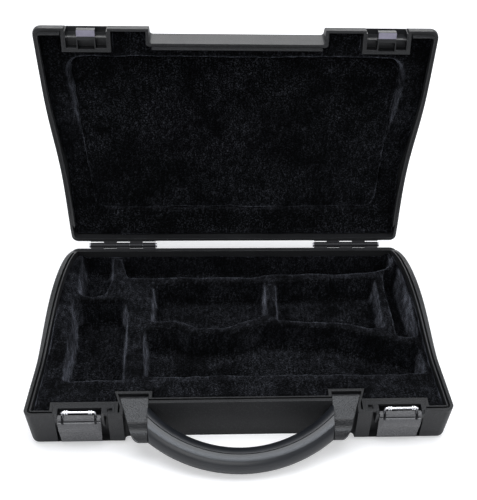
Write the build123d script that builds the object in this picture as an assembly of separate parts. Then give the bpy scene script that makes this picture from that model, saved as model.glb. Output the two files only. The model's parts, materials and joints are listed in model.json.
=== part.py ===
from build123d import *
import os
import math

# Hard clarinet case, open on its back edge, in millimetres.
# X runs along the case, -Y is the handle side, +Y the hinge side, +Z up.
# The origin is the middle of the flat underside. The shell is shaped as one closed body
# and parted by a wave-shaped surface; the lid is then swung open about the hinge axis.

# ---- whole case ----
DEPTH = 224.0            # front rim to back rim
FRONT_WIDTH = 372.0      # across the front rim
BACK_WIDTH = 331.0       # across the back rim
SIDE_BOW = 1.2           # how far the side walls bow out between their ends
RIM_Z = 40.0             # height of the base's level rims
LID_RISE = 46.0          # rim to crown of the lid
WALL = 2.8               # moulded shell wall
CORNER_R = 7.0           # corners in plan
FLOOR_EDGE_R = 5.0       # edge round the underside
RIM_GAP = 0.4            # lid rim above base rim when shut

FRONT_Y = -DEPTH / 2
BACK_Y = DEPTH / 2

# ---- wave of the parting line along the side walls, measured from the back rim ----
WAVE_START = 4.0
WAVE_PEAK_AT = 73.0
WAVE_PEAK = 17.4
WAVE_END = 168.0

# ---- rim: groove in the base, tongue on the lid ----
GROOVE_IN, GROOVE_OUT, GROOVE_DEEP = 3.2, 5.0, 4.5
TONGUE_IN, TONGUE_OUT, TONGUE_DROP = 3.5, 4.7, 3.8
FLANGE_OUT, FLANGE_DEEP = 6.2, 8.0

# ---- lid hinges ----
HINGE_SET = 4.87         # axis behind the back rim
HINGE_X = 114.5
HINGE_LONG = 66.0
KNUCKLES = 5
KNUCKLE_R = 2.9
PIN_R = 1.4
RUNNING = 0.05           # radial clearance of pins in their holes
LEAF_T = 1.2
LEAF_TALL = 19.0
LID_OPEN = 97.5          # opening angle at the hinge stop

# ---- recess in the middle of the front wall, for the handle ----
SCOOP_TOP, SCOOP_FOOT = 13.2, 11.4      # depth at the rim and at the underside
LID_SCOOP_X, BASE_SCOOP_X = 81.0, 101.2
BAY_IN_X, BAY_OUT_X = 79.85, 106.6      # bays that hold the handle's arms
BAY_DEEP, BAY_FLOOR = 24.5, 28.0
BAY_TAPER = 0.31         # how much narrower the bay gets for each mm forwards

# ---- handle ----
PIVOT_Y, PIVOT_Z = FRONT_Y + 18.2, 35.6
GRIP_REACH = 52.4        # pivot to the middle of the grip
GRIP_DROP = 26.5         # angle of the handle below level, at rest
GRIP_BEND_R = 116.5      # radius of the grip's curve
GRIP_WIDE, GRIP_TALL, GRIP_ROUND = 22.0, 22.0, 8.0
GRIP_SPLIT_R = 113.0     # where the grip's two mouldings meet
GRIP_END_X = 80.0
ARM_R = 4.2
HANDLE_PIN_R = 2.0

# ---- latches ----
LATCH_X = 138.0
LATCH_DEEP = 11.6        # bay behind the front wall
LATCH_FLOOR = 3.6
SLOT_X, CHEEK_X = -24.2, 21.0            # bay sides, from the latch's middle
LEVER_HALF = 18.25
LEVER_Y, LEVER_Z = FRONT_Y + 1.4, 36.2   # lever hinge
LEVER_PIN_R = 1.0
BARREL_R = 2.1
FOOT_Y, FOOT_Z = FRONT_Y + 3.0, 34.0     # where the wire is hinged in the lever
BAR_Y, BAR_Z = FRONT_Y - 0.6, 44.9       # middle of the wire's bar, latch shut
WIRE_R = 0.9
WIRE_HALF = 14.0
KEEPER_HALF = 19.5
KEEPER_TALL, KEEPER_LOW = 14.6, 9.6      # height of its front pocket and of the windows behind
KEEPER_DEEP = 19.0
KEEPER_POCKET = 8.5
STRIKE_AT = 0.9          # strike behind the front plane


def half_width(y):
    """Half the case's width at y, at its widest height."""
    share = (y - FRONT_Y) / DEPTH
    straight = FRONT_WIDTH / 2 + share * (BACK_WIDTH - FRONT_WIDTH) / 2
    return straight + 1.0 + 4 * SIDE_BOW * share * (1 - share)


def plan_face(front_in, side_in, back_in, corner, z):
    """Plan of the case, drawn in from its widest outline."""
    y0, y1 = FRONT_Y + front_in, BACK_Y - back_in
    ym = (y0 + y1) / 2
    x0, xm, x1 = half_width(y0) - side_in, half_width(ym) - side_in, half_width(y1) - side_in
    outline = [
        Line((-x0, y0), (x0, y0)),
        ThreePointArc((x0, y0), (xm, ym), (x1, y1)),
        Line((x1, y1), (-x1, y1)),
        ThreePointArc((-x1, y1), (-xm, ym), (-x0, y0)),
    ]
    face = make_face(outline)
    return Pos(0, 0, z) * fillet(face.vertices(), corner)


# rise above the rim, inset of front, sides and back, plan corner, share of the wall taken downwards
DOME = [
    (-2.0, 0.0, 1.5, 0.1, 7.0, 0.0),
    (15.0, 2.4, 0.0, 0.5, 8.5, 0.3),
    (29.5, 25.0, 4.2, 3.0, 17.0, 0.8),
    (LID_RISE, 106.0, 34.0, 30.0, 30.0, 1.0),
]
TUB_TOP = RIM_Z + 20.0
DRAFT = (3.5 / RIM_Z, 4.5 / 57.0, 3.0 / RIM_Z)      # inset per mm of height: front, sides, back


def tub_body(wall=0.0):
    """The base's block with drafted sides; wall > 0 gives the space inside a wall that thick."""
    corner = CORNER_R - wall / 2
    sections = []
    for z in (wall, TUB_TOP + wall):
        front = DRAFT[0] * (RIM_Z - z) + wall
        side = DRAFT[1] * (57.0 - z) + wall
        back = DRAFT[2] * (RIM_Z - z) + wall
        sections.append(plan_face(front, side, back, corner, z))
    return loft(sections, ruled=True)


def dome_body(wall=0.0):
    """The lid's domed block; wall > 0 gives the space inside a wall that thick."""
    sections = []
    for rise, front, side, back, corner, down in DOME:
        out = wall * (1 - 0.6 * down)
        corner = max(corner - wall, 2.5)
        drop = wall * down + (1.0 if wall and rise < 0 else 0.0)
        sections.append(plan_face(front + out, side + out, back + out, corner, RIM_Z + rise - drop))
    return loft(sections)


def wave_profile(lift):
    """Edges of the parting line from front to back, raised by lift."""
    def point(v, rise):
        return (BACK_Y - v, RIM_Z + rise + lift)
    wave = Spline(
        point(WAVE_END, 0), point(146, 3.2), point(109, 13.0), point(WAVE_PEAK_AT, WAVE_PEAK),
        point(38, 13.9), point(WAVE_START, 0), tangents=[(1, 0), (1, -0.6)],
    )
    return [Line((-140, RIM_Z + lift), wave @ 0), wave, Line(wave @ 1, (160, RIM_Z + lift))]


def part_space(lift, upper):
    """Everything above (upper) or below the parting surface raised by lift."""
    edges = wave_profile(lift)
    far = 140.0 if upper else -20.0
    start, end = edges[0] @ 0, edges[-1] @ 1
    edges += [Line(end, (end.X, far)), Line((end.X, far), (start.X, far)), Line((start.X, far), start)]
    return extrude(Plane.YZ * make_face(edges), 230, both=True)


def scoop(half_x, grow):
    """Wedge cut from the front wall: deepest at the parting line."""
    top, foot = FRONT_Y + SCOOP_TOP + grow, FRONT_Y + SCOOP_FOOT + grow
    out = FRONT_Y - 8
    side = Polyline((out, -4), (foot - 0.7, -4), (top, RIM_Z), (foot - 0.7, 2 * RIM_Z + 4), (out, 2 * RIM_Z + 4),
                    close=True)
    wedge = extrude(Plane.YZ * make_face(side), half_x + grow, both=True)
    upright = wedge.edges().filter_by(lambda e: abs(e.center().X) > half_x - 1 and e.center().Y > FRONT_Y - 2
                                      and abs(e.center().Z - RIM_Z) > 5 and abs((e @ 1 - e @ 0).Z) > 30)
    return fillet(upright, 3.0)


def box_between(x0, x1, y0, y1, z0, z1):
    """Box between two corners."""
    return Pos((x0 + x1) / 2, (y0 + y1) / 2, (z0 + z1) / 2) * Box(abs(x1 - x0), abs(y1 - y0), abs(z1 - z0))


def arm_bay(side, grow):
    """Deeper pocket behind the front recess that takes one arm of the handle."""
    front, back = FRONT_Y - 8, FRONT_Y + BAY_DEEP + grow
    wide, inner = BAY_OUT_X + grow, BAY_IN_X - grow
    plan = Polyline((inner, front), (wide - BAY_TAPER * (back - front), front), (wide, back), (inner, back), close=True)
    low = BAY_FLOOR - grow
    bay = Pos(0, 0, low - 20) * extrude(make_face(plan), RIM_Z + 1 - low + 20)
    slope = Polyline((front - 1, low - 17), (FRONT_Y - 0.5, low - 11), (FRONT_Y + 15.5, low), (0, low), (0, RIM_Z + 1),
                     (front - 1, RIM_Z + 1), close=True)
    bay &= extrude(Plane.YZ * make_face(slope), 200, both=True)
    return bay if side > 0 else mirror(bay, Plane.YZ)


def latch_bay(side, grow):
    """Pocket for one latch; the lever leaves a slot free on its inner side."""
    x0, x1 = LATCH_X + SLOT_X - grow, LATCH_X + CHEEK_X + grow
    bay = box_between(x0, x1, FRONT_Y - 8, FRONT_Y + LATCH_DEEP + grow, LATCH_FLOOR - grow, RIM_Z + 1)
    return bay if side > 0 else mirror(bay, Plane.YZ)


def frame_seat(side, grow):
    """Shallow rebate in the rim in which the latch housing's frame lies."""
    x0, x1 = LATCH_X - 29.7 - grow, LATCH_X + 22.8 + grow
    seat = box_between(x0, x1, FRONT_Y + 1.5, FRONT_Y + 12.6 + grow, 37.4 - grow, RIM_Z + 1)
    return seat if side > 0 else mirror(seat, Plane.YZ)


def base_recesses(grow=0.0):
    """All pockets in the base's front wall; grow gives the space they and their walls take."""
    solid = scoop(BASE_SCOOP_X, grow) & box_between(-200, 200, -140, 0, -6, RIM_Z + 1)
    for side in (-1, 1):
        solid += arm_bay(side, grow) + latch_bay(side, grow) + frame_seat(side, grow)
    return solid


def rim_outline():
    """Rim of the shut case in plan, with the recess for the handle."""
    notch = Pos(0, FRONT_Y, 0) * Rectangle(2 * LID_SCOOP_X, 2 * SCOOP_TOP)
    return plan_face(0, 1.0, 0, CORNER_R, 0) - notch


def rim_ring(outer, inner):
    """Upright band that follows the rim between two insets."""
    outline = rim_outline()
    band = offset(outline, -outer) - offset(outline, -inner)
    return extrude(band, 90)


def latch_gaps(behind):
    """The stretches of rim that the latches and arms take up."""
    gaps = []
    for side in (-1, 1):
        gaps.append(box_between(side * 78.5, side * 161, FRONT_Y - 5, FRONT_Y + behind, 0, 100))
    return gaps[0] + gaps[1]


def hinge_pad(side, z0, z1):
    """Flat seat on the back wall for one hinge leaf."""
    x = side * HINGE_X
    return box_between(x - 37, x + 37, BACK_Y - 4, BACK_Y, z0, z1)


def rivet_places(side, z):
    """Three rivets along one hinge leaf."""
    return [Pos(side * HINGE_X + step, BACK_Y, z) for step in (-24, 0, 24)]


BASE_RIVET_Z = 25.0
LID_RIVET_Z = 2 * RIM_Z - BASE_RIVET_Z + RIM_GAP
RIVET_R = 1.5


def rivet_holes(z, radius):
    """Holes through wall and leaf."""
    holes = []
    for side in (-1, 1):
        for place in rivet_places(side, z):
            holes.append(place * Rot(90, 0, 0) * Cylinder(radius, 14))
    return holes


def base_shell():
    """Base: open tub with groove rim, front recesses and hinge seats."""
    outer = tub_body() & part_space(0, upper=False)
    bottom = outer.edges().filter_by(lambda e: e.center().Z < 0.1)
    outer = fillet(bottom, FLOOR_EDGE_R)
    for side in (-1, 1):
        outer += hinge_pad(side, 13, RIM_Z)
    outer -= base_recesses()
    inner = tub_body(WALL) - base_recesses(WALL)
    shell = outer - inner
    flange = rim_ring(1.5, FLANGE_OUT) & part_space(0, upper=False) & part_space(-FLANGE_DEEP, upper=True)
    flange -= latch_gaps(16) + base_recesses()
    shell += flange & tub_body()
    groove = rim_ring(GROOVE_IN, GROOVE_OUT) & part_space(-GROOVE_DEEP, upper=True)
    groove -= latch_gaps(16) + box_between(-200, 200, BACK_Y - 12, BACK_Y + 5, 0, 100)
    shell -= groove
    for side in (-1, 1):
        shell -= Pos(side * 92, PIVOT_Y, PIVOT_Z) * Rot(0, 90, 0) * Cylinder(HANDLE_PIN_R + RUNNING, 32)
    return shell - rivet_holes(BASE_RIVET_Z, RIVET_R + RUNNING)


def lid_recesses(grow=0.0):
    """All pockets in the lid's front wall."""
    solid = scoop(LID_SCOOP_X, grow) & box_between(-200, 200, -140, 0, RIM_Z - 6, 100)
    for side in (-1, 1):
        solid += keeper_block(side, grow + 0.1)
    return solid


def keeper_block(side, grow=0.0):
    """Space one keeper takes in the lid's rim: a tall front part and a lower one behind it."""
    half, z0 = KEEPER_HALF + grow, RIM_Z + RIM_GAP
    x = side * LATCH_X
    tall = box_between(x - half, x + half, FRONT_Y - 4, FRONT_Y + KEEPER_POCKET + grow, z0 - 3, z0 + KEEPER_TALL + grow)
    low = box_between(x - half, x + half, FRONT_Y - 4, FRONT_Y + KEEPER_DEEP + grow, z0 - 3, z0 + KEEPER_LOW + grow)
    return tall + low


def lid_shell():
    """Lid: domed shell with tongue rim, handle recess and hinge seats, in the shut position."""
    space = part_space(RIM_GAP, upper=True)
    outer = dome_body() & space
    for side in (-1, 1):
        outer += hinge_pad(side, RIM_Z + RIM_GAP, 2 * RIM_Z - 15) & space
    outer -= lid_recesses()
    inner = dome_body(WALL)
    for side in (-1, 1):
        inner -= keeper_block(side, WALL)
    inner -= scoop(LID_SCOOP_X, WALL)
    shell = outer - inner
    tongue = rim_ring(TONGUE_IN, TONGUE_OUT) & part_space(RIM_GAP - TONGUE_DROP, upper=True)
    web = rim_ring(1.5, TONGUE_OUT) & part_space(RIM_GAP, upper=True)
    tongue = (tongue + web) & part_space(3.5, upper=False)
    tongue -= latch_gaps(28) + box_between(-200, 200, BACK_Y - 15, BACK_Y + 5, 0, 100)
    tongue -= lid_recesses(0.3)
    shell += tongue
    return shell - rivet_holes(LID_RIVET_Z, RIVET_R + RUNNING)


HINGE_Y = BACK_Y + HINGE_SET


def swung(shape, degrees):
    """Shape turned about the lid's hinge axis."""
    return Pos(0, HINGE_Y, RIM_Z) * Rot(degrees, 0, 0) * Pos(0, -HINGE_Y, -RIM_Z) * shape


def opened(shape):
    """A lid piece moved from shut to its place on the open lid."""
    return swung(shape, -LID_OPEN)


def hinge_leaf(side, lid):
    """One leaf: flat plate on the wall, a neck and its share of the knuckles."""
    x0 = side * HINGE_X - HINGE_LONG / 2
    step = HINGE_LONG / KNUCKLES
    up = 1 if lid else -1
    plate_far = RIM_Z + up * LEAF_TALL
    plate_near = RIM_Z + up * 1.2
    plate = box_between(x0, x0 + HINGE_LONG, BACK_Y, BACK_Y + LEAF_T, plate_near, plate_far)
    ends = plate.edges().filter_by(Axis.Y).filter_by(lambda e: abs(e.center().Z - plate_far) < 0.1)
    leaf = fillet(ends, 2.5)
    neck = Polyline((BACK_Y, RIM_Z + up * 5), (BACK_Y + LEAF_T, RIM_Z + up * 7.5), (HINGE_Y, RIM_Z + up * KNUCKLE_R),
                    (HINGE_Y, RIM_Z), (BACK_Y + 2.4, RIM_Z), (BACK_Y, RIM_Z + up * 1.2), close=True)
    for number in range(KNUCKLES):
        if (number % 2 == 1) != lid:
            continue
        a = x0 + number * step + 0.15
        long = step - 0.3
        leaf += extrude(Plane.YZ.offset(a) * make_face(neck), long)
        leaf += Pos(a + long / 2, HINGE_Y, RIM_Z) * Rot(0, 90, 0) * Cylinder(KNUCKLE_R, long)
    leaf -= Pos(side * HINGE_X, HINGE_Y, RIM_Z) * Rot(0, 90, 0) * Cylinder(PIN_R + RUNNING, HINGE_LONG + 4)
    return leaf - rivet_holes(LID_RIVET_Z if lid else BASE_RIVET_Z, RIVET_R + RUNNING)


def hinge_pin(side):
    """Hinge pin with a flattened head at each end."""
    pin = Cylinder(PIN_R, HINGE_LONG + 1.0)
    for end in (-1, 1):
        pin += Pos(0, 0, end * (HINGE_LONG / 2 + 0.75)) * Cylinder(2.3, 0.9)
    return Pos(side * HINGE_X, HINGE_Y, RIM_Z) * Rot(0, 90, 0) * pin


def hinge_rivets(side, z, wall):
    """Domed rivets through leaf and wall; the tails are clenched inside."""
    long = LEAF_T + wall
    half = Polyline((0, -long), (0, -long - 0.6), (2.2, -long - 0.6), (2.2, -long), (RIVET_R, -long), (RIVET_R, 0),
                    (2.6, 0), (2.2, 0.7), (0, 1.0), close=True)
    rivet = revolve(Plane.XZ * make_face(half), Axis.Z)
    group = []
    for place in rivet_places(side, z):
        group.append(place * Pos(0, LEAF_T, 0) * Rot(-90, 0, 0) * rivet)
    return Compound(children=group)


# ---- handle, drawn level and pointing out of the front, then let down to rest ----
def handle_at_rest(shape):
    """Handle piece turned down from level to where it hangs."""
    return Pos(0, PIVOT_Y, PIVOT_Z) * Rot(GRIP_DROP, 0, 0) * shape


def grip():
    """Curved grip: a rounded section swept round a gentle bow."""
    centre = GRIP_BEND_R - GRIP_REACH
    section = RectangleRounded(GRIP_WIDE, GRIP_TALL, GRIP_ROUND)
    ring = revolve(Plane.YZ * Pos(-GRIP_BEND_R, 0) * section, Axis.Z, 120)
    ring = Rot(0, 0, -60) * ring
    bow = Pos(0, centre, 0) * ring
    return bow & box_between(-GRIP_END_X, GRIP_END_X, -80, 20, -30, 30)


def behind_recess(gap):
    """Everything behind the recess's wall, from gap in front of it."""
    top, foot = FRONT_Y + SCOOP_TOP - gap, FRONT_Y + SCOOP_FOOT - gap
    side = Polyline((foot - 0.7, -4), (top, RIM_Z), (foot - 0.7, 2 * RIM_Z + 4), (0, 2 * RIM_Z + 4), (0, -4), close=True)
    return extrude(Plane.YZ * make_face(side), 120, both=True)


def grip_half(outer):
    """One of the two mouldings that make up the grip, parted by a shallow groove."""
    centre = GRIP_BEND_R - GRIP_REACH
    seam = 0.35
    if outer:
        keep = Cylinder(GRIP_BEND_R + 40, 60) - Cylinder(GRIP_SPLIT_R, 60)
        groove = Cylinder(GRIP_SPLIT_R + seam, 60) - Cylinder(GRIP_SPLIT_R - 1, 60)
    else:
        keep = Cylinder(GRIP_SPLIT_R, 60)
        groove = Cylinder(GRIP_SPLIT_R + 1, 60) - Cylinder(GRIP_SPLIT_R - seam, 60)
    groove -= Box(400, 400, GRIP_TALL - 2.4)
    half = grip() & Pos(0, centre, 0) * keep
    half -= Pos(0, centre, 0) * groove
    half -= Pos(0, -PIVOT_Y, -PIVOT_Z) * behind_recess(0.8)
    return handle_at_rest(half) - behind_recess(0.6)


def handle_arm(side):
    """Arm between pivot and grip: rounded heel, flat top that rises to the bend, rounded front."""
    side_view = [
        ThreePointArc((1.5, ARM_R), (5.1, 0.3), (1.5, -ARM_R)),
        Line((1.5, -ARM_R), (-7.0, -4.8)),
        Spline((-7.0, -4.8), (-15, -6.2), (-23, -6.6), (-30, -6.0)),
        ThreePointArc((-30, -6.0), (-36.0, 1.0), (-31, 8.2)),
        Spline((-31, 8.2), (-26, 8.0), (-21.5, 5.6), (-18, ARM_R)),
        Line((-18, ARM_R), (1.5, ARM_R)),
    ]
    arm = extrude(Plane.YZ * make_face(side_view), 120)
    plan = [
        Line((GRIP_END_X, 6), (105.5, 6)),
        Line((105.5, 6), (97.4, -20)),
        Spline((97.4, -20), (96.0, -25), (94.0, -30)),
        ThreePointArc((94.0, -30), (89.8, -34.6), (GRIP_END_X, -37)),
        Line((GRIP_END_X, -37), (GRIP_END_X, 6)),
    ]
    arm &= Pos(0, 0, -20) * extrude(make_face(plan), 40)
    arm -= Pos(92, 0, 0) * Rot(0, 90, 0) * Cylinder(HANDLE_PIN_R + RUNNING, 40)
    arm = handle_at_rest(arm)
    return arm if side > 0 else mirror(arm, Plane.YZ)


def handle_pin(side):
    """Pivot pin through the arm, held by both side walls of its bay."""
    pin = Cylinder(HANDLE_PIN_R, 28.0)
    return Pos(side * 92.7, PIVOT_Y, PIVOT_Z) * Rot(0, 90, 0) * pin


# ---- latches ----
def across(length, radius, y, z, x=0.0):
    """Cylinder along X."""
    return Pos(x, y, z) * Rot(0, 90, 0) * Cylinder(radius, length)


def latch_lever():
    """Lever in its own frame: hinge barrel and lip on top, bevelled band, thin plate below."""
    y, z = LEVER_Y, LEVER_Z
    side_view = [
        Polyline((y, z + BARREL_R), (y - 3.4, z + 1.8), (y - 3.7, z - 0.6), (y - 2.2, z - 1.6), (y - 2.2, z - 2.2),
                 (y - 4.2, z - 3.0)),
        ThreePointArc((y - 4.2, z - 3.0), (y - 4.8, z - 8.7), (y - 3.4, z - 14.7)),
        Polyline((y - 3.4, z - 14.7), (y - 2.7, z - 15.4), (y - 0.3, 5.6), (y + 0.5, 4.2), (y + 1.5, 4.2),
                 (y - 0.8, z - 14.5), (FOOT_Y + 1.9, FOOT_Z - 3.0), (FOOT_Y + 2.1, FOOT_Z + 1.2), (y + BARREL_R, z)),
        ThreePointArc((y + BARREL_R, z), (y + BARREL_R * 0.707, z + BARREL_R * 0.707), (y, z + BARREL_R)),
    ]
    lever = extrude(Plane.YZ * make_face(side_view), LEVER_HALF, both=True)
    taper = Polyline((-LEVER_HALF, 45), (-LEVER_HALF, 20), (-LEVER_HALF + 1.1, 0), (LEVER_HALF - 1.1, 0),
                     (LEVER_HALF, 20), (LEVER_HALF, 45), close=True)
    lever &= extrude(Plane.XZ * make_face(taper), 140)
    facet = Polyline((-LEVER_HALF - 1, y - 1.8), (-LEVER_HALF + 6, y - 6), (-LEVER_HALF - 1, y - 6), close=True)
    lever -= Pos(0, 0, z - 16) * extrude(make_face(facet), 13.2)
    for end in (-1, 1):
        lever -= box_between(end * (WIRE_HALF - 1.1), end * (WIRE_HALF + 1.1), y - 12, y + 8, FOOT_Z - 2.0, z + 6)
    lever -= across(50, LEVER_PIN_R + RUNNING, y, z)
    lever -= across(2 * WIRE_HALF - 2, WIRE_R + RUNNING, FOOT_Y, FOOT_Z)
    return lever


def wire_bail():
    """Sprung wire: bar on top with two turns at each end, arms down to feet hinged in the lever."""
    slope = (BAR_Y - FOOT_Y) / (BAR_Z - FOOT_Z)
    plane = Plane(origin=(0, FOOT_Y, FOOT_Z), x_dir=(1, 0, 0), z_dir=(0, -1, slope))
    tall = math.hypot(BAR_Y - FOOT_Y, BAR_Z - FOOT_Z)
    path = FilletPolyline((-10.6, 0), (-WIRE_HALF, 0), (-WIRE_HALF, tall), (WIRE_HALF, tall), (WIRE_HALF, 0),
                          (10.6, 0), radius=1.3)
    path = plane * path
    wire = sweep(Plane(origin=path @ 0, z_dir=path % 0) * Circle(WIRE_R), path)
    for end in (-1, 1):
        for turn in (0, 1):
            wire += across(1.2, 1.8, BAR_Y, BAR_Z, end * (11.2 - 1.9 * turn))
    return wire


def latch_housing():
    """Moulded frame let into the rim, with a back plate and two cheeks that carry the lever."""
    y0, y1 = FRONT_Y + 1.6, FRONT_Y + 12.5
    frame = box_between(-29.6, 22.7, y0, y1, 37.5, RIM_Z)
    frame -= box_between(-21.0, 18.6, y0 - 1, FRONT_Y + 8.6, 36, RIM_Z + 1)
    frame -= box_between(-27.8, -23.4, FRONT_Y + 3.4, FRONT_Y + 8.2, 36, RIM_Z + 1)
    back = box_between(SLOT_X + 0.1, CHEEK_X - 0.1, FRONT_Y + 10.2, FRONT_Y + 11.5, LATCH_FLOOR + 0.1, 38)
    housing = frame + back
    for x0, x1 in ((-21.0, -18.6), (18.6, 20.9)):
        cheek = Polyline((FRONT_Y + 10.4, 22), (FRONT_Y + 10.4, RIM_Z), (FRONT_Y + 1.6, RIM_Z),
                         (LEVER_Y - 1.0, LEVER_Z + 2.4), (LEVER_Y - 2.2, LEVER_Z + 0.8), (LEVER_Y - 2.0, LEVER_Z - 1.2),
                         (FRONT_Y + 3.4, 22), close=True)
        housing += extrude(Plane.YZ.offset(x0) * make_face(cheek), x1 - x0)
    return housing - across(60, LEVER_PIN_R + RUNNING, LEVER_Y, LEVER_Z)


def lever_pins():
    """Two stub pins from the cheeks into the lever's ends."""
    return Compound(children=[across(4.9, LEVER_PIN_R, LEVER_Y, LEVER_Z, end * 18.35) for end in (-1, 1)])


def latch_keeper():
    """Keeper moulding in the lid's rim: open front pocket with a cross bar, two windows behind it."""
    z0 = RIM_Z + RIM_GAP
    half, y = KEEPER_HALF, FRONT_Y
    block = box_between(-half, half, y + 2.0, y + KEEPER_POCKET, z0, z0 + KEEPER_TALL)
    block += box_between(-half, half, y + 7.5, y + KEEPER_DEEP, z0, z0 + KEEPER_LOW)
    block -= box_between(-half + 1.0, half - 1.0, y - 3, y + 7.5, z0 - 1, z0 + KEEPER_TALL - 1.0)
    for end in (-1, 1):
        block -= box_between(end * 8.6, end * (half - 1.0), y + 8.5, y + KEEPER_DEEP - 1.2, z0 - 1, z0 + 8.0)
    block -= box_between(-7.6, 7.6, y + 10.5, y + 30, z0 - 1, z0 + 8.0)
    return block + box_between(-8.4, 8.4, y + STRIKE_AT + 0.8, y + KEEPER_POCKET, z0 + 0.8, z0 + 6.2)


def latch_strike():
    """Bent metal plate on the keeper's cross bar that the wire hooks over."""
    y, z0 = FRONT_Y + STRIKE_AT, RIM_Z + RIM_GAP
    side_view = Polyline((y, z0 + 0.1), (y + 6.1, z0 + 0.1), (y + 6.1, z0 + 0.75), (y + 0.75, z0 + 0.75),
                         (y + 0.75, z0 + 6.3), (y, z0 + 6.3), close=True)
    plate = extrude(Plane.YZ * make_face(side_view), 8.35, both=True)
    bend = plate.edges().filter_by(Axis.X).filter_by(lambda e: e.center().Y < y + 0.1 and e.center().Z < z0 + 1)
    return fillet(bend, 0.6)


def at_latch(shape, side):
    """Put a latch piece at its place; the left latch is the right one's mirror image."""
    shape = Pos(LATCH_X, 0, 0) * shape
    return shape if side > 0 else mirror(shape, Plane.YZ)


# ---- linings ----
def lining_block(gap, top):
    """Block that fills the base up to a height, gap clear of the shell."""
    block = tub_body(WALL + gap) & part_space(-3.2, upper=False)
    block -= base_recesses(WALL + gap)
    block -= rim_ring(0, FLANGE_OUT + gap) & part_space(-FLANGE_DEEP - 1, upper=True)
    return block & box_between(-200, 200, -120, 120, 0, top)


CREST_Z = 36.0           # ridges between the wells


def pocket(points, floor, corner, edge=4.0, slope=7.0):
    """Pocket with drafted sides cut from above, given its outline at the crest."""
    face = make_face(Polyline(*points, close=True))
    face = fillet(face.vertices(), corner)
    mouth = Pos(0, 0, CREST_Z) * face
    body = extrude(mouth, floor - CREST_Z, taper=slope)
    if edge:
        low = body.edges().filter_by(lambda e: abs(e.center().Z - floor) < 0.1)
        body = fillet(low, edge)
    return body + extrude(mouth, 30)


def base_lining():
    """Fitted lining: wells for bell, barrel, mouthpiece and the two long joints."""
    lining = lining_block(1.2, CREST_Z + 20)
    valley = Polyline((-150, CREST_Z), (150, CREST_Z), (182, CREST_Z + 24), (-182, CREST_Z + 24), close=True)
    lining -= Pos(0, 107, 0) * extrude(Plane.XZ * make_face(valley), 176)
    back_slot = [(-107, 72), (-117, 104), (158, 104), (160, 85), (130, 77), (31, 75), (14, 71)]
    barrel = [(-154, 48), (-154, 104), (-124, 104), (-122, 69), (-128, 50), (-140, 44)]
    bell = [(-157, -67), (-158, -43), (-155, -1), (-158, 27), (-150, 38), (-110, 38), (-104, 23), (-103, -67)]
    middle_left = [(-82, 9), (-82, 59), (-60, 63), (28, 63), (29, 19), (0, 5), (-12, -1), (-38, -1), (-60, 9)]
    middle_right = [(38, 9), (38, 63), (120, 67), (139, 69), (140, -1), (124, -3), (98, 5)]
    end_slot = [(147, 77), (163, 79), (168, -21), (158, -21), (149, -13)]
    front = [(-86, -63), (-88, -5), (-58, 0), (-44, -9), (-6, -9), (24, 3), (98, -5), (146, -22), (168, -33), (170, -63)]
    lining -= pocket(back_slot, 13, 3, edge=0)
    lining -= pocket(barrel, 12, 3.5)
    lining -= pocket(bell, 8, 4.5)
    lining -= pocket(middle_left, 12, 3.5)
    lining -= pocket(middle_right, 12, 3.5)
    lining -= pocket(end_slot, 14, 3, edge=3)
    lining -= pocket(front, 10, 4.5)
    return lining


def lid_lining():
    """Padded lining of the lid: raised border round a sunken middle, in the shut position."""
    block = dome_body(WALL + 1.2) & box_between(-200, 200, -120, 120, 44.5, 100)
    block &= part_space(8.0, upper=True)
    for side in (-1, 1):
        block -= keeper_block(side, WALL + 1.2)
    block -= scoop(LID_SCOOP_X, WALL + 1.2)
    well = loft([plan_face(27, 22, 22, 16, 42), plan_face(33, 28, 28, 12, 66)], ruled=True)
    return block - well


def lid_panel():
    """Flat padded panel in the middle of the lid."""
    panel = extrude(plan_face(37, 32, 32, 12, 61.6), 4.0)
    rim = panel.edges().filter_by(lambda e: e.center().Z < 61.7)
    return fillet(rim, 1.8)


def main():
    os.makedirs("parts", exist_ok=True)
    pieces = {
        "base_shell": base_shell(),
        "base_lining": base_lining(),
        "lid_shell": opened(lid_shell()),
        "lid_lining": opened(lid_lining()),
        "lid_panel": opened(lid_panel()),
        "handle_grip_inner": grip_half(outer=False),
        "handle_grip_outer": grip_half(outer=True),
    }
    for side, name in ((-1, "left"), (1, "right")):
        pieces[f"handle_{name}_arm"] = handle_arm(side)
        pieces[f"handle_{name}_pin"] = handle_pin(side)
        pieces[f"hinge_{name}_base_leaf"] = hinge_leaf(side, lid=False)
        pieces[f"hinge_{name}_lid_leaf"] = opened(hinge_leaf(side, lid=True))
        pieces[f"hinge_{name}_pin"] = hinge_pin(side)
        pieces[f"hinge_{name}_base_rivets"] = hinge_rivets(side, BASE_RIVET_Z, 4.2)
        pieces[f"hinge_{name}_lid_rivets"] = opened(hinge_rivets(side, LID_RIVET_Z, 3.0))
        pieces[f"latch_{name}_housing"] = at_latch(latch_housing(), side)
        pieces[f"latch_{name}_lever_pins"] = at_latch(lever_pins(), side)
        pieces[f"latch_{name}_lever"] = at_latch(latch_lever(), side)
        pieces[f"latch_{name}_bail"] = at_latch(wire_bail(), side)
        pieces[f"latch_{name}_keeper"] = opened(at_latch(latch_keeper(), side))
        pieces[f"latch_{name}_strike"] = opened(at_latch(latch_strike(), side))
    for name, piece in pieces.items():
        export_step(piece, f"parts/{name}.step")


if __name__ == "__main__":
    main()
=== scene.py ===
import json
import math

import bmesh
import bpy
import numpy as np
from mathutils import Matrix, Vector, noise


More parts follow.
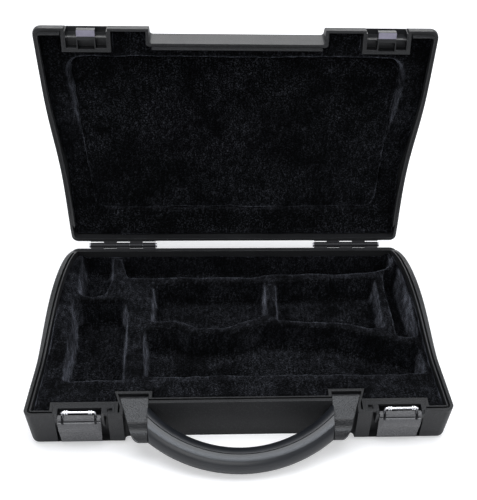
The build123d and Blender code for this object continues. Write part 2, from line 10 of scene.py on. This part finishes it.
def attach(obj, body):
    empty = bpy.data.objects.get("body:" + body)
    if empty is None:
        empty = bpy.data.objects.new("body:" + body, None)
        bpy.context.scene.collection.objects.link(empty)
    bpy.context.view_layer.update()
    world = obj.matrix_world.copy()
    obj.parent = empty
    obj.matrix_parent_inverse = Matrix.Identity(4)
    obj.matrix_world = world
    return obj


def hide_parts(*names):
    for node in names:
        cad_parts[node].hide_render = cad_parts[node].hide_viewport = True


MM = 0.001
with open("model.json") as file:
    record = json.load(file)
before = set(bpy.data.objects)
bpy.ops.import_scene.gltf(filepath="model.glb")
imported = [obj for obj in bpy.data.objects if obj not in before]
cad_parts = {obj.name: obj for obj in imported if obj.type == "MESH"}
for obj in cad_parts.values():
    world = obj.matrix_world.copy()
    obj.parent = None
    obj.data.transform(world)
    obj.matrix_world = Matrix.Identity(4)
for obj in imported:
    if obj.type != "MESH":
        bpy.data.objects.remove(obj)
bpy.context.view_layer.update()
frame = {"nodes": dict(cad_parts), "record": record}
nodes = frame["nodes"]
SIDES = ("left", "right")

# ---------- camera: place in mm, turn and lens of the reference view ----------
CAMERA_MM = (-27.0, -690.7, 696.0)
PITCH, YAW, ROLL = math.radians(39.641), math.radians(-4.342), math.radians(2.525)
LENS, SENSOR = 72.68, 36.0
SHIFT = (-0.059, 0.012)


def add_camera():
    """The scene's camera, turned by pitch, yaw and roll."""
    back = Vector((math.sin(YAW) * math.cos(PITCH), -math.cos(YAW) * math.cos(PITCH), math.sin(PITCH)))
    level = Vector((math.cos(YAW), math.sin(YAW), 0.0))
    up = back.cross(level)
    right = math.cos(ROLL) * level + math.sin(ROLL) * up
    up = -math.sin(ROLL) * level + math.cos(ROLL) * up
    camera = bpy.data.objects.new("camera", bpy.data.cameras.new("camera"))
    bpy.context.collection.objects.link(camera)
    turn = Matrix((right, up, back)).transposed().to_4x4()
    camera.matrix_world = Matrix.Translation(Vector(CAMERA_MM) * MM) @ turn
    camera.data.lens = LENS
    camera.data.sensor_width = SENSOR
    camera.data.shift_x, camera.data.shift_y = SHIFT
    camera.data.clip_start = 0.01
    bpy.context.scene.camera = camera


# ---------- light, floor and background ----------
WORLD_TINT, WORLD_LIGHT = (0.93, 0.96, 1.0), 0.45
FLOOR_HALF = 6.0
FLOOR_COLOUR = (0.80, 0.80, 0.81)
FLOOR_GLOW = 0.35        # added for the camera's rays only, so the floor reads white


def add_area(name, place, target, size, power, colour=(1, 1, 1)):
    """Rectangular studio lamp aimed at a target."""
    lamp = bpy.data.lights.new(name, "AREA")
    lamp.shape = "RECTANGLE"
    lamp.size, lamp.size_y = size
    lamp.energy = power
    lamp.color = colour
    obj = bpy.data.objects.new(name, lamp)
    bpy.context.collection.objects.link(obj)
    obj.location = place
    obj.rotation_euler = (Vector(target) - Vector(place)).to_track_quat("-Z", "Y").to_euler()
    return obj


def add_world():
    """White behind the object for the camera, a soft cool light for everything else."""
    world = bpy.data.worlds.new("studio")
    bpy.context.scene.world = world
    world.use_nodes = True
    tree = world.node_tree
    tree.nodes.clear()
    out = tree.nodes.new("ShaderNodeOutputWorld")
    seen = tree.nodes.new("ShaderNodeBackground")
    lit = tree.nodes.new("ShaderNodeBackground")
    seen.inputs["Color"].default_value = (1, 1, 1, 1)
    seen.inputs["Strength"].default_value = 1.0
    lit.inputs["Color"].default_value = (*WORLD_TINT, 1)
    lit.inputs["Strength"].default_value = WORLD_LIGHT
    path = tree.nodes.new("ShaderNodeLightPath")
    mix = tree.nodes.new("ShaderNodeMixShader")
    tree.links.new(path.outputs["Is Camera Ray"], mix.inputs["Fac"])
    tree.links.new(lit.outputs[0], mix.inputs[1])
    tree.links.new(seen.outputs[0], mix.inputs[2])
    tree.links.new(mix.outputs[0], out.inputs["Surface"])


def add_floor():
    """Plain pale floor that keeps the object's shadow."""
    mesh = bpy.data.meshes.new("floor")
    corners = [(x * FLOOR_HALF, y * FLOOR_HALF, 0) for x, y in ((-1, -1), (1, -1), (1, 1), (-1, 1))]
    mesh.from_pydata(corners, [], [(0, 1, 2, 3)])
    floor = bpy.data.objects.new("floor", mesh)
    bpy.context.collection.objects.link(floor)
    material, tree, shader = new_material("floor_white", FLOOR_COLOUR, 0.85)
    glow = tree.nodes.new("ShaderNodeEmission")
    glow.inputs["Color"].default_value = (1, 1, 1, 1)
    path = tree.nodes.new("ShaderNodeLightPath")
    tree.links.new(times(tree, path.outputs["Is Camera Ray"], FLOOR_GLOW), glow.inputs["Strength"])
    add = tree.nodes.new("ShaderNodeAddShader")
    tree.links.new(shader.outputs[0], add.inputs[0])
    tree.links.new(glow.outputs[0], add.inputs[1])
    tree.links.new(add.outputs[0], tree.nodes["Material Output"].inputs["Surface"])
    mesh.materials.append(material)


# ---------- materials ----------
def new_material(name, colour, roughness, metallic=0.0):
    """A material with its node tree and its Principled shader."""
    material = bpy.data.materials.new(name)
    material.use_nodes = True
    tree = material.node_tree
    shader = tree.nodes["Principled BSDF"]
    shader.inputs["Base Color"].default_value = (*colour, 1)
    shader.inputs["Roughness"].default_value = roughness
    shader.inputs["Metallic"].default_value = metallic
    return material, tree, shader


def coords(tree, scale=(1, 1, 1)):
    """Object coordinates in metres, stretched by scale."""
    where = tree.nodes.new("ShaderNodeTexCoord")
    mapping = tree.nodes.new("ShaderNodeMapping")
    mapping.inputs["Scale"].default_value = scale
    tree.links.new(where.outputs["Object"], mapping.inputs["Vector"])
    return mapping.outputs["Vector"]


def noise_node(tree, vector, scale, detail=3.0, rough=0.55):
    """Noise from 0 to 1, scale being its cells per metre."""
    node = tree.nodes.new("ShaderNodeTexNoise")
    node.inputs["Scale"].default_value = scale
    node.inputs["Detail"].default_value = detail
    node.inputs["Roughness"].default_value = rough
    tree.links.new(vector, node.inputs["Vector"])
    return node.outputs["Fac"]


def ramp(tree, value, stops):
    """Colour ramp with (place, colour) stops."""
    node = tree.nodes.new("ShaderNodeValToRGB")
    while len(node.color_ramp.elements) < len(stops):
        node.color_ramp.elements.new(0.5)
    for element, (place, colour) in zip(node.color_ramp.elements, stops):
        element.position = place
        element.color = (*colour, 1)
    tree.links.new(value, node.inputs["Fac"])
    return node.outputs["Color"]


def remap(tree, value, low, high, from_low=0.0, from_high=1.0):
    """Stretch the range from_low..from_high to low..high."""
    node = tree.nodes.new("ShaderNodeMapRange")
    node.inputs["From Min"].default_value = from_low
    node.inputs["From Max"].default_value = from_high
    node.inputs["To Min"].default_value = low
    node.inputs["To Max"].default_value = high
    tree.links.new(value, node.inputs["Value"])
    return node.outputs["Result"]


def bump(tree, height, strength, distance, normal=None):
    """Bump from a height, on top of another normal if one is given."""
    node = tree.nodes.new("ShaderNodeBump")
    node.inputs["Strength"].default_value = strength
    node.inputs["Distance"].default_value = distance
    tree.links.new(height, node.inputs["Height"])
    if normal is not None:
        tree.links.new(normal, node.inputs["Normal"])
    return node.outputs["Normal"]


def soft_edge(tree, radius):
    """Normal that rounds sharp edges in shading."""
    node = tree.nodes.new("ShaderNodeBevel")
    node.samples = 4
    node.inputs["Radius"].default_value = radius
    return node.outputs["Normal"]


def times(tree, first, second):
    """Product of two values, the second of which may be a number."""
    node = tree.nodes.new("ShaderNodeMath")
    node.operation = "MULTIPLY"
    tree.links.new(first, node.inputs[0])
    if isinstance(second, float):
        node.inputs[1].default_value = second
    else:
        tree.links.new(second, node.inputs[1])
    return node.outputs[0]


def plastic(name, dark, light, roughness, grain_mm, grain_depth, edge_mm=0.4, wear=0.02, shine=0.3):
    """Moulded plastic: fine spark grain, faint mottling, scuffed edges."""
    material, tree, shader = new_material(name, dark, roughness)
    shader.inputs["Specular IOR Level"].default_value = shine
    where = coords(tree)
    grain = tree.nodes.new("ShaderNodeTexVoronoi")
    grain.inputs["Scale"].default_value = 1.0 / (grain_mm * MM)
    tree.links.new(where, grain.inputs["Vector"])
    cloud = noise_node(tree, where, 28.0, 4.0)
    speck = noise_node(tree, where, 900.0, 2.0)
    geometry = tree.nodes.new("ShaderNodeNewGeometry")
    edges = remap(tree, geometry.outputs["Pointiness"], 0.0, 1.0, 0.51, 0.60)
    tint = ramp(tree, cloud, [(0.30, dark), (0.72, light)])
    worn = tree.nodes.new("ShaderNodeMix")
    worn.data_type = "RGBA"
    worn.inputs["B"].default_value = (*[min(1.0, c * 2.2 + wear) for c in light], 1)
    scuffs = times(tree, edges, remap(tree, speck, 0.0, 0.55, 0.45, 0.75))
    tree.links.new(scuffs, worn.inputs["Factor"])
    tree.links.new(tint, worn.inputs["A"])
    tree.links.new(worn.outputs["Result"], shader.inputs["Base Color"])
    tree.links.new(remap(tree, cloud, roughness - 0.05, roughness + 0.07), shader.inputs["Roughness"])
    height = bump(tree, grain.outputs["Distance"], 0.35, grain_depth * MM, soft_edge(tree, edge_mm * MM))
    tree.links.new(bump(tree, speck, 0.12, 0.05 * MM, height), shader.inputs["Normal"])
    return material


def metal(name, colour, roughness, streak=(1, 1, 1), coarse=260.0):
    """Plated or brushed metal with fine streaks and faint smudges."""
    material, tree, shader = new_material(name, colour, roughness, 1.0)
    where = coords(tree, streak)
    lines = noise_node(tree, where, coarse, 4.0)
    smudge = noise_node(tree, coords(tree), 60.0, 3.0)
    darker = tuple(c * 0.82 for c in colour)
    tree.links.new(ramp(tree, smudge, [(0.35, darker), (0.65, colour)]), shader.inputs["Base Color"])
    streaked = remap(tree, lines, roughness * 0.7, roughness * 1.5 + 0.03, 0.3, 0.7)
    tree.links.new(streaked, shader.inputs["Roughness"])
    tree.links.new(bump(tree, lines, 0.10, 0.02 * MM, soft_edge(tree, 0.15 * MM)), shader.inputs["Normal"])
    return material


def enamel(name, colour, roughness):
    """Black stoved paint on steel, slightly orange-peeled."""
    material, tree, shader = new_material(name, colour, roughness)
    where = coords(tree)
    peel = noise_node(tree, where, 500.0, 2.0)
    cloud = noise_node(tree, where, 45.0, 3.0)
    lighter = tuple(c * 1.7 for c in colour)
    tree.links.new(ramp(tree, cloud, [(0.3, colour), (0.75, lighter)]), shader.inputs["Base Color"])
    tree.links.new(bump(tree, peel, 0.15, 0.05 * MM, soft_edge(tree, 0.2 * MM)), shader.inputs["Normal"])
    shader.inputs["Specular IOR Level"].default_value = 0.2
    return material


def plush(name, dark, light, sheen=0.55):
    """Short-pile plush: speckled fibre tips, brushed patches, a faint cool sheen at grazing angles."""
    material, tree, shader = new_material(name, dark, 0.95)
    where = coords(tree)
    fibre = noise_node(tree, where, 1500.0, 3.0, 0.7)
    tuft = noise_node(tree, where, 800.0, 2.0, 0.6)
    strand = noise_node(tree, coords(tree, (1, 0.35, 0.35)), 420.0, 4.0, 0.7)
    brushed = noise_node(tree, where, 30.0, 5.0, 0.7)
    tips = times(tree, remap(tree, tuft, 0.0, 1.0, 0.50, 0.64), remap(tree, strand, 0.3, 1.0, 0.45, 0.62))
    shade = times(tree, tips, remap(tree, brushed, 0.25, 1.0, 0.40, 0.62))
    tree.links.new(ramp(tree, shade, [(0.0, dark), (1.0, light)]), shader.inputs["Base Color"])
    nap = times(tree, remap(tree, brushed, 0.3, 1.0, 0.40, 0.62), remap(tree, strand, 0.35, 1.0, 0.42, 0.60))
    tree.links.new(times(tree, nap, sheen), shader.inputs["Sheen Weight"])
    shader.inputs["Sheen Roughness"].default_value = 0.40
    shader.inputs["Sheen Tint"].default_value = (0.66, 0.70, 0.84, 1)
    shader.inputs["Specular IOR Level"].default_value = 0.03
    low = bump(tree, tuft, 0.9, 0.8 * MM)
    tree.links.new(bump(tree, fibre, 0.7, 0.3 * MM, low), shader.inputs["Normal"])
    return material


SHARP_EDGE = 32.0        # degrees


def dress(name, material):
    """Give a CAD node its material and smooth shading between sharp edges."""
    mesh = nodes[name].data
    mesh.materials.clear()
    mesh.materials.append(material)
    smooth(mesh, SHARP_EDGE)


def smooth(mesh, angle):
    """Smooth shading, kept sharp at edges over an angle in degrees."""
    mesh.polygons.foreach_set("use_smooth", [True] * len(mesh.polygons))
    mesh.set_sharp_from_angle(angle=math.radians(angle))


# ---------- soft pieces ----------
VOXEL_MM = 1.6           # remeshing step of the plush
SOFTEN_PASSES = 8
WAVES = ((1.5, 34.0), (0.6, 9.0))        # depth and length in mm of the plush's unevenness
PAD_SPREAD = (1.034, 1.0, 1.062)         # growth of the lid's pad in its own plane


def soft_copy(node, name):
    """A remeshed, softened copy of a plain CAD lining."""
    mesh = nodes[node].data.copy()
    mesh.name = name
    obj = bpy.data.objects.new(name, mesh)
    bpy.context.collection.objects.link(obj)
    remesh = obj.modifiers.new("remesh", "REMESH")
    remesh.mode = "VOXEL"
    remesh.voxel_size = VOXEL_MM * MM
    remesh.use_smooth_shade = True
    soften = obj.modifiers.new("soften", "SMOOTH")
    soften.factor = 0.5
    soften.iterations = SOFTEN_PASSES
    apply_all(obj)
    return obj


def apply_all(obj):
    """Replace an object's mesh by what its modifiers make."""
    graph = bpy.context.evaluated_depsgraph_get()
    baked = bpy.data.meshes.new_from_object(obj.evaluated_get(graph), depsgraph=graph)
    obj.modifiers.clear()
    obj.data = baked


def points(mesh):
    """The mesh's vertices as an array of rows."""
    where = np.empty(len(mesh.vertices) * 3)
    mesh.vertices.foreach_get("co", where)
    return where.reshape(-1, 3)


def set_points(mesh, where):
    mesh.vertices.foreach_set("co", where.ravel())
    mesh.update()


def ruffle(mesh, amount_mm, size_mm, seed):
    """Push vertices gently along their normals with smooth noise."""
    where = points(mesh)
    normals = np.empty(where.size)
    mesh.vertex_normals.foreach_get("vector", normals)
    shift = np.array((seed * 3.1, seed * 1.7, seed * 0.9))
    values = np.array([noise.noise(p) for p in where / (size_mm * MM) + shift])
    where += normals.reshape(-1, 3) * values[:, None] * amount_mm * MM
    set_points(mesh, where)


def spread_pad(mesh):
    """Widen the lid's pad until its edge tucks in under the sloping border."""
    where = points(mesh)
    middle = (where.max(0) + where.min(0)) / 2
    set_points(mesh, middle + (where - middle) * np.array(PAD_SPREAD))


# ---------- the grip, from its solids' squarish section to a round one ----------
GRIP_HALF, GRIP_CORNER = 11.0 * MM, 8.0 * MM     # half the solids' section, and its corners' radius
GRIP_ROUND = 11.25 * MM                          # radius of the round section
GRIP_BEND, GRIP_REACH = 116.5 * MM, 52.4 * MM    # radius of the bend, and its crown's distance from the pivot
swing = next(j for j in frame["record"]["behaviour"]["joints"] if j["name"] == "handle_swing")
PIVOT = Vector(swing["pos_m"])
GRIP_DROP = math.radians(-swing["range_deg"][0])
GRIP_CORE = 0.5 * MM                             # points nearer the middle than this stay
GRIP_SHARP_EDGE = 40.0                           # degrees


def square_edge(u, v):
    """Distance from the middle of the solid's section to its outline, towards (u, v)."""
    far = math.hypot(u, v)
    c, s = abs(u) / far, abs(v) / far
    flat = GRIP_HALF - GRIP_CORNER
    if min(c, s) / max(c, s) < flat / GRIP_HALF:
        return GRIP_HALF / max(c, s)
    lean = flat * (c + s)
    return lean + math.sqrt(lean * lean + GRIP_CORNER ** 2 - 2 * flat ** 2)


def rounded(place):
    """Move a point of the grip's squarish section onto the round one."""
    level = Matrix.Rotation(-GRIP_DROP, 3, "X") @ (place - PIVOT)
    bend_y = level.y - GRIP_BEND + GRIP_REACH
    out = math.hypot(level.x, bend_y)
    u, v = out - GRIP_BEND, level.z
    if math.hypot(u, v) < GRIP_CORE:
        return place
    factor = GRIP_ROUND / square_edge(u, v)
    stretch = (GRIP_BEND + u * factor) / out
    eased = Vector((level.x * stretch, bend_y * stretch + GRIP_BEND - GRIP_REACH, v * factor))
    return Matrix.Rotation(GRIP_DROP, 3, "X") @ eased + PIVOT


def add_grip(material):
    """The grip's two mouldings with the round section of the real ones."""
    for half in ("inner", "outer"):
        node = f"handle_grip_{half}"
        mesh = nodes[node].data.copy()
        piece = bpy.data.objects.new(f"grip_{half}_moulding", mesh)
        bpy.context.collection.objects.link(piece)
        work = bmesh.new()
        work.from_mesh(mesh)
        bmesh.ops.remove_doubles(work, verts=work.verts, dist=1e-6)
        for vertex in work.verts:
            vertex.co = rounded(vertex.co)
        work.to_mesh(mesh)
        work.free()
        stale = mesh.attributes.get("custom_normal")
        if stale:
            mesh.attributes.remove(stale)
        mesh.materials.clear()
        mesh.materials.append(material)
        smooth(mesh, GRIP_SHARP_EDGE)
        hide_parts(node)
        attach(piece, "handle")


def add_linings():
    """The three plush pieces, each in place of its plain solid."""
    fabric = plush("plush_black", (0.0004, 0.0004, 0.0005), (0.034, 0.036, 0.043))
    for node, name, body, slot in (
        ("base_lining", "base_plush", "base", "lining_plush"),
        ("lid_lining", "lid_plush", "lid", "lining_plush"),
        ("lid_panel", "lid_pad", "lid", "panel_plush"),
    ):
        piece = soft_copy(node, name)
        for step, (depth_mm, length_mm) in enumerate(WAVES):
            ruffle(piece.data, depth_mm, length_mm, len(name) + 5 * step)
        piece.data.materials.clear()
        piece.data.materials.append(fabric)
        smooth(piece.data, 180.0)
        if node == "lid_panel":
            spread_pad(piece.data)
        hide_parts(node)
        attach(piece, body)


def dress_nodes():
    """Every carried-over CAD node gets the finish of its slot, then the handle and latches their own."""
    shell = plastic("shell_abs", (0.0100, 0.0103, 0.0112), (0.0150, 0.0154, 0.0166), 0.42, 0.45, 0.10)
    grip = plastic("grip_satin", (0.0080, 0.0092, 0.0115), (0.0125, 0.0140, 0.0175), 0.30, 0.35, 0.03, 0.5,
                   shine=0.5)
    latch = plastic("latch_satin", (0.0085, 0.0088, 0.0098), (0.0130, 0.0135, 0.0150), 0.34, 0.4, 0.05, 0.35,
                    shine=0.35)
    black = enamel("leaf_enamel", (0.006, 0.006, 0.007), 0.45)
    steel = metal("pin_steel", (0.30, 0.30, 0.32), 0.35, (1, 20, 20))
    chrome = metal("wire_chrome", (0.84, 0.84, 0.87), 0.12, (1, 8, 8), 120.0)
    strike = metal("strike_plate", (0.30, 0.285, 0.35), 0.42, (20, 1, 1))
    finishes = {"shell_plastic": shell, "handle_plastic": grip, "latch_plastic": latch, "leaf_steel": black,
                "pin_steel": steel, "wire_chrome": chrome, "strike_steel": strike}
    for part in frame["record"]["subparts"]:
        finish = finishes.get(part["material_slot"])
        if finish is not None:
            dress(part["node"], finish)
    arm = plastic("arm_leather", (0.0055, 0.0058, 0.0068), (0.0125, 0.0130, 0.0145), 0.34, 1.3, 0.8, 0.8,
                  shine=0.35)
    # The levers' base colour, about three times that of the latch plastic, is painted reflection of the white
    # floor in front; their low roughness and high specular are their real gloss.
    gloss_and_painted_reflection = plastic("lever_gloss_painted_reflection", (0.0260, 0.0260, 0.0290), (0.0420, 0.0420, 0.0460), 0.24, 0.4, 0.03, 0.35,
                    shine=0.9)
    add_grip(grip)
    for side in SIDES:
        dress(f"handle_{side}_arm", arm)
        dress(f"handle_{side}_pin", black)
        dress(f"latch_{side}_lever", gloss_and_painted_reflection)
        face_up_dark(f"latch_{side}_strike", latch)


def face_up_dark(name, material):
    """The strike's upright leg lies in the keeper's shade and is painted like it."""
    mesh = nodes[name].data
    mesh.materials.append(material)
    for face in mesh.polygons:
        if face.normal.z > 0.5:
            face.material_index = 1


add_camera()
add_world()
add_floor()
add_area("overhead", (0.0, 0.15, 1.9), (0, 0, 0), (2.2, 1.4), 36, (0.97, 0.98, 1.0))
add_area("front", (-0.5, -1.7, 1.0), (0, 0, 0.05), (1.6, 1.0), 10)
add_area("side", (1.7, -0.2, 0.9), (0, 0, 0.05), (0.9, 1.2), 7)
back_card = add_area("back_card", (0.0, 2.9, 1.3), (0, 0.1, 0.26), (2.6, 0.8), 30)
top_card = add_area("top_card", (0.0, -0.75, 1.7), (0, -0.14, 0.02), (1.5, 0.30), 14, (0.86, 0.92, 1.0))
for card in (back_card, top_card):
    card.visible_diffuse = False
dress_nodes()
add_linings()

bpy.context.scene.view_settings.view_transform = "Standard"
